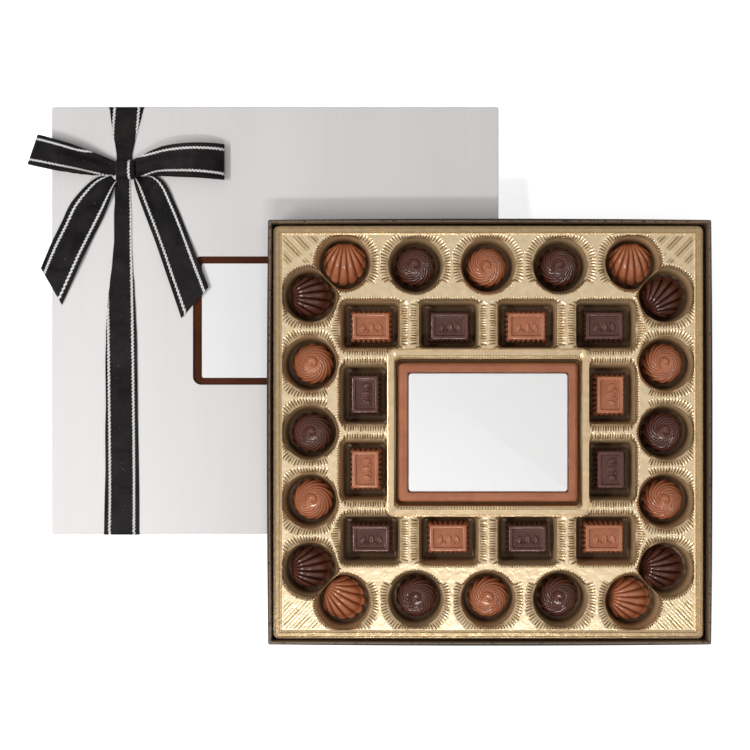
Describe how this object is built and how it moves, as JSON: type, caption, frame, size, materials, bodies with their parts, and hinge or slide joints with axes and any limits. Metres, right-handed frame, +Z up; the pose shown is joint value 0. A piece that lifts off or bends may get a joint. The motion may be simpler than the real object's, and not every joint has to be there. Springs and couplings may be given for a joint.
{
  "type": "chocolate box",
  "caption": "Ribboned silver lid lying on its rim, with an open black box on it that holds a gold moulded tray of assorted chocolates round a plaque.",
  "frame": {"origin": "on the table, under the middle of the box round the whole arrangement", "axes": "+Z up from the table, +X along the long sides of lid and base to the right, +Y to the back"},
  "size_m": [0.4296, 0.3398, 0.0575],
  "materials": {
    "silver_paper_board": "brushed silver foil paper, satin",
    "printed_card": "white card with a chocolate brown border",
    "black_ribbon": "woven satin with a silver line along both edges",
    "black_board": "wrapped in black paper, low sheen",
    "gold_film": "thin formed film, champagne gold metallised",
    "dark_chocolate": "tempered dark chocolate, satin gloss",
    "milk_chocolate": "tempered milk chocolate, satin gloss",
    "white_chocolate": "smooth white chocolate"
  },
  "bodies": {
    "lid": {"lid_shell": "silver_paper_board", "lid_window_card": "printed_card", "ribbon_band": "black_ribbon", "bow_knot": "black_ribbon", "bow_loop_left": "black_ribbon", "bow_loop_right": "black_ribbon", "bow_tail_left": "black_ribbon", "bow_tail_right": "black_ribbon"},
    "base": {"base_box": "black_board"},
    "tray": {"gold_tray": "gold_film"},
    "plaque": {"plaque": "milk_chocolate", "plaque_inlay": "white_chocolate"},
    "dark_swirl_back_left": {"dark_swirl_back_left": "dark_chocolate"},
    "milk_swirl_back": {"milk_swirl_back": "milk_chocolate"},
    "dark_swirl_back_right": {"dark_swirl_back_right": "dark_chocolate"},
    "milk_swirl_left_back": {"milk_swirl_left_back": "milk_chocolate"},
    "dark_swirl_left": {"dark_swirl_left": "dark_chocolate"},
    "milk_swirl_left_front": {"milk_swirl_left_front": "milk_chocolate"},
    "milk_swirl_right_back": {"milk_swirl_right_back": "milk_chocolate"},
    "dark_swirl_right": {"dark_swirl_right": "dark_chocolate"},
    "milk_swirl_right_front": {"milk_swirl_right_front": "milk_chocolate"},
    "dark_swirl_front_left": {"dark_swirl_front_left": "dark_chocolate"},
    "milk_swirl_front": {"milk_swirl_front": "milk_chocolate"},
    "dark_swirl_front_right": {"dark_swirl_front_right": "dark_chocolate"},
    "milk_shell_back_left": {"milk_shell_back_left": "milk_chocolate"},
    "dark_shell_left_back": {"dark_shell_left_back": "dark_chocolate"},
    "milk_shell_back_right": {"milk_shell_back_right": "milk_chocolate"},
    "dark_shell_right_back": {"dark_shell_right_back": "dark_chocolate"},
    "dark_shell_left_front": {"dark_shell_left_front": "dark_chocolate"},
    "milk_shell_front_left": {"milk_shell_front_left": "milk_chocolate"},
    "milk_shell_front_right": {"milk_shell_front_right": "milk_chocolate"},
    "dark_shell_right_front": {"dark_shell_right_front": "dark_chocolate"},
    "milk_block_back_left": {"milk_block_back_left": "milk_chocolate"},
    "dark_block_back_left": {"dark_block_back_left": "dark_chocolate"},
    "milk_block_back_right": {"milk_block_back_right": "milk_chocolate"},
    "dark_block_back_right": {"dark_block_back_right": "dark_chocolate"},
    "dark_block_front_left": {"dark_block_front_left": "dark_chocolate"},
    "milk_block_front_left": {"milk_block_front_left": "milk_chocolate"},
    "dark_block_front_right": {"dark_block_front_right": "dark_chocolate"},
    "milk_block_front_right": {"milk_block_front_right": "milk_chocolate"},
    "dark_block_left": {"dark_block_left": "dark_chocolate"},
    "milk_block_left": {"milk_block_left": "milk_chocolate"},
    "milk_block_right": {"milk_block_right": "milk_chocolate"},
    "dark_block_right": {"dark_block_right": "dark_chocolate"}
  },
  "joints": [
    {"name": "base_lift", "type": "slide", "parent": "lid", "child": "base", "axis": [0, 0, 1], "range_m": [0, 0.0406]},
    {"name": "tray_lift", "type": "slide", "parent": "base", "child": "tray", "axis": [0, 0, 1], "range_m": [0, 0.0346]},
    {"name": "plaque_lift", "type": "slide", "parent": "tray", "child": "plaque", "axis": [0, 0, 1], "range_m": [0, 0.015]},
    {"name": "dark_swirl_back_left_lift", "type": "slide", "parent": "tray", "child": "dark_swirl_back_left", "axis": [0, 0, 1], "range_m": [0, 0.0254]},
    {"name": "milk_swirl_back_lift", "type": "slide", "parent": "tray", "child": "milk_swirl_back", "axis": [0, 0, 1], "range_m": [0, 0.0254]},
    {"name": "dark_swirl_back_right_lift", "type": "slide", "parent": "tray", "child": "dark_swirl_back_right", "axis": [0, 0, 1], "range_m": [0, 0.0254]},
    {"name": "milk_swirl_left_back_lift", "type": "slide", "parent": "tray", "child": "milk_swirl_left_back", "axis": [0, 0, 1], "range_m": [0, 0.0254]},
    {"name": "dark_swirl_left_lift", "type": "slide", "parent": "tray", "child": "dark_swirl_left", "axis": [0, 0, 1], "range_m": [0, 0.0254]},
    {"name": "milk_swirl_left_front_lift", "type": "slide", "parent": "tray", "child": "milk_swirl_left_front", "axis": [0, 0, 1], "range_m": [0, 0.0254]},
    {"name": "milk_swirl_right_back_lift", "type": "slide", "parent": "tray", "child": "milk_swirl_right_back", "axis": [0, 0, 1], "range_m": [0, 0.0254]},
    {"name": "dark_swirl_right_lift", "type": "slide", "parent": "tray", "child": "dark_swirl_right", "axis": [0, 0, 1], "range_m": [0, 0.0254]},
    {"name": "milk_swirl_right_front_lift", "type": "slide", "parent": "tray", "child": "milk_swirl_right_front", "axis": [0, 0, 1], "range_m": [0, 0.0254]},
    {"name": "dark_swirl_front_left_lift", "type": "slide", "parent": "tray", "child": "dark_swirl_front_left", "axis": [0, 0, 1], "range_m": [0, 0.0254]},
    {"name": "milk_swirl_front_lift", "type": "slide", "parent": "tray", "child": "milk_swirl_front", "axis": [0, 0, 1], "range_m": [0, 0.0254]},
    {"name": "dark_swirl_front_right_lift", "type": "slide", "parent": "tray", "child": "dark_swirl_front_right", "axis": [0, 0, 1], "range_m": [0, 0.0254]},
    {"name": "milk_shell_back_left_lift", "type": "slide", "parent": "tray", "child": "milk_shell_back_left", "axis": [0, 0, 1], "range_m": [0, 0.0254]},
    {"name": "dark_shell_left_back_lift", "type": "slide", "parent": "tray", "child": "dark_shell_left_back", "axis": [0, 0, 1], "range_m": [0, 0.0254]},
    {"name": "milk_shell_back_right_lift", "type": "slide", "parent": "tray", "child": "milk_shell_back_right", "axis": [0, 0, 1], "range_m": [0, 0.0254]},
    {"name": "dark_shell_right_back_lift", "type": "slide", "parent": "tray", "child": "dark_shell_right_back", "axis": [0, 0, 1], "range_m": [0, 0.0254]},
    {"name": "dark_shell_left_front_lift", "type": "slide", "parent": "tray", "child": "dark_shell_left_front", "axis": [0, 0, 1], "range_m": [0, 0.0254]},
    {"name": "milk_shell_front_left_lift", "type": "slide", "parent": "tray", "child": "milk_shell_front_left", "axis": [0, 0, 1], "range_m": [0, 0.0254]},
    {"name": "milk_shell_front_right_lift", "type": "slide", "parent": "tray", "child": "milk_shell_front_right", "axis": [0, 0, 1], "range_m": [0, 0.0254]},
    {"name": "dark_shell_right_front_lift", "type": "slide", "parent": "tray", "child": "dark_shell_right_front", "axis": [0, 0, 1], "range_m": [0, 0.0254]},
    {"name": "milk_block_back_left_lift", "type": "slide", "parent": "tray", "child": "milk_block_back_left", "axis": [0, 0, 1], "range_m": [0, 0.0254]},
    {"name": "dark_block_back_left_lift", "type": "slide", "parent": "tray", "child": "dark_block_back_left", "axis": [0, 0, 1], "range_m": [0, 0.0254]},
    {"name": "milk_block_back_right_lift", "type": "slide", "parent": "tray", "child": "milk_block_back_right", "axis": [0, 0, 1], "range_m": [0, 0.0254]},
    {"name": "dark_block_back_right_lift", "type": "slide", "parent": "tray", "child": "dark_block_back_right", "axis": [0, 0, 1], "range_m": [0, 0.0254]},
    {"name": "dark_block_front_left_lift", "type": "slide", "parent": "tray", "child": "dark_block_front_left", "axis": [0, 0, 1], "range_m": [0, 0.0254]},
    {"name": "milk_block_front_left_lift", "type": "slide", "parent": "tray", "child": "milk_block_front_left", "axis": [0, 0, 1], "range_m": [0, 0.0254]},
    {"name": "dark_block_front_right_lift", "type": "slide", "parent": "tray", "child": "dark_block_front_right", "axis": [0, 0, 1], "range_m": [0, 0.0254]},
    {"name": "milk_block_front_right_lift", "type": "slide", "parent": "tray", "child": "milk_block_front_right", "axis": [0, 0, 1], "range_m": [0, 0.0254]},
    {"name": "dark_block_left_lift", "type": "slide", "parent": "tray", "child": "dark_block_left", "axis": [0, 0, 1], "range_m": [0, 0.0254]},
    {"name": "milk_block_left_lift", "type": "slide", "parent": "tray", "child": "milk_block_left", "axis": [0, 0, 1], "range_m": [0, 0.0254]},
    {"name": "milk_block_right_lift", "type": "slide", "parent": "tray", "child": "milk_block_right", "axis": [0, 0, 1], "range_m": [0, 0.0254]},
    {"name": "dark_block_right_lift", "type": "slide", "parent": "tray", "child": "dark_block_right", "axis": [0, 0, 1], "range_m": [0, 0.0254]}
  ]
}
